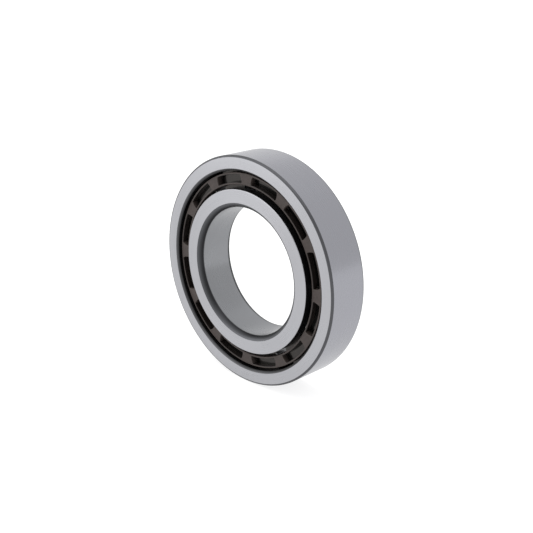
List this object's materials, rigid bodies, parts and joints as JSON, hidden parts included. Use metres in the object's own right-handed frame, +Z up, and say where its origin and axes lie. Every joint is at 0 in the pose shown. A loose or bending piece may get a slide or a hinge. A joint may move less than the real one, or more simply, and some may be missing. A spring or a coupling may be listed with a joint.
{
  "type": "cylindrical roller bearing",
  "caption": "Cylindrical roller bearing with two flanges on its outer ring, one on its inner ring, and a moulded window cage.",
  "frame": {"origin": "centre of the bearing", "axes": "+Y along the bearing's axis, away from the inner ring's flange; +Z up, the bearing standing upright on its outer ring"},
  "size_m": [0.125, 0.024, 0.125],
  "materials": {
    "ring_steel": "ground hardened bearing steel, satin",
    "roller_steel": "lapped hardened bearing steel, polished",
    "cage_polyamide": "moulded glass-filled polyamide, dark brown, matt"
  },
  "bodies": {
    "outer_ring": {"outer_ring": "ring_steel"},
    "inner_ring": {"inner_ring": "ring_steel"},
    "cage": {"cage": "cage_polyamide"},
    "roller_01": {"roller_01": "roller_steel"},
    "roller_02": {"roller_02": "roller_steel"},
    "roller_03": {"roller_03": "roller_steel"},
    "roller_04": {"roller_04": "roller_steel"},
    "roller_05": {"roller_05": "roller_steel"},
    "roller_06": {"roller_06": "roller_steel"},
    "roller_07": {"roller_07": "roller_steel"},
    "roller_08": {"roller_08": "roller_steel"},
    "roller_09": {"roller_09": "roller_steel"},
    "roller_10": {"roller_10": "roller_steel"},
    "roller_11": {"roller_11": "roller_steel"},
    "roller_12": {"roller_12": "roller_steel"}
  },
  "joints": [
    {"name": "inner_spin", "type": "hinge", "parent": "outer_ring", "child": "inner_ring", "pos_m": [0, 0, 0], "axis": [0, 1, 0], "continuous": true},
    {"name": "cage_spin", "type": "hinge", "parent": "outer_ring", "child": "cage", "pos_m": [0, 0, 0], "axis": [0, 1, 0], "continuous": true},
    {"name": "roller_01_spin", "type": "hinge", "parent": "cage", "child": "roller_01", "pos_m": [0.01268, 0, 0.04733], "axis": [0, 1, 0], "continuous": true},
    {"name": "roller_02_spin", "type": "hinge", "parent": "cage", "child": "roller_02", "pos_m": [0.03465, 0, 0.03465], "axis": [0, 1, 0], "continuous": true},
    {"name": "roller_03_spin", "type": "hinge", "parent": "cage", "child": "roller_03", "pos_m": [0.04733, 0, 0.01268], "axis": [0, 1, 0], "continuous": true},
    {"name": "roller_04_spin", "type": "hinge", "parent": "cage", "child": "roller_04", "pos_m": [0.04733, 0, -0.01268], "axis": [0, 1, 0], "continuous": true},
    {"name": "roller_05_spin", "type": "hinge", "parent": "cage", "child": "roller_05", "pos_m": [0.03465, 0, -0.03465], "axis": [0, 1, 0], "continuous": true},
    {"name": "roller_06_spin", "type": "hinge", "parent": "cage", "child": "roller_06", "pos_m": [0.01268, 0, -0.04733], "axis": [0, 1, 0], "continuous": true},
    {"name": "roller_07_spin", "type": "hinge", "parent": "cage", "child": "roller_07", "pos_m": [-0.01268, 0, -0.04733], "axis": [0, 1, 0], "continuous": true},
    {"name": "roller_08_spin", "type": "hinge", "parent": "cage", "child": "roller_08", "pos_m": [-0.03465, 0, -0.03465], "axis": [0, 1, 0], "continuous": true},
    {"name": "roller_09_spin", "type": "hinge", "parent": "cage", "child": "roller_09", "pos_m": [-0.04733, 0, -0.01268], "axis": [0, 1, 0], "continuous": true},
    {"name": "roller_10_spin", "type": "hinge", "parent": "cage", "child": "roller_10", "pos_m": [-0.04733, 0, 0.01268], "axis": [0, 1, 0], "continuous": true},
    {"name": "roller_11_spin", "type": "hinge", "parent": "cage", "child": "roller_11", "pos_m": [-0.03465, 0, 0.03465], "axis": [0, 1, 0], "continuous": true},
    {"name": "roller_12_spin", "type": "hinge", "parent": "cage", "child": "roller_12", "pos_m": [-0.01268, 0, 0.04733], "axis": [0, 1, 0], "continuous": true}
  ],
  "couplings": [
    {"joint": "cage_spin", "follows": "inner_spin", "ratio": 0.40816},
    {"joint": "roller_01_spin", "follows": "inner_spin", "ratio": -2.6304},
    {"joint": "roller_02_spin", "follows": "inner_spin", "ratio": -2.6304},
    {"joint": "roller_03_spin", "follows": "inner_spin", "ratio": -2.6304},
    {"joint": "roller_04_spin", "follows": "inner_spin", "ratio": -2.6304},
    {"joint": "roller_05_spin", "follows": "inner_spin", "ratio": -2.6304},
    {"joint": "roller_06_spin", "follows": "inner_spin", "ratio": -2.6304},
    {"joint": "roller_07_spin", "follows": "inner_spin", "ratio": -2.6304},
    {"joint": "roller_08_spin", "follows": "inner_spin", "ratio": -2.6304},
    {"joint": "roller_09_spin", "follows": "inner_spin", "ratio": -2.6304},
    {"joint": "roller_10_spin", "follows": "inner_spin", "ratio": -2.6304},
    {"joint": "roller_11_spin", "follows": "inner_spin", "ratio": -2.6304},
    {"joint": "roller_12_spin", "follows": "inner_spin", "ratio": -2.6304}
  ]
}
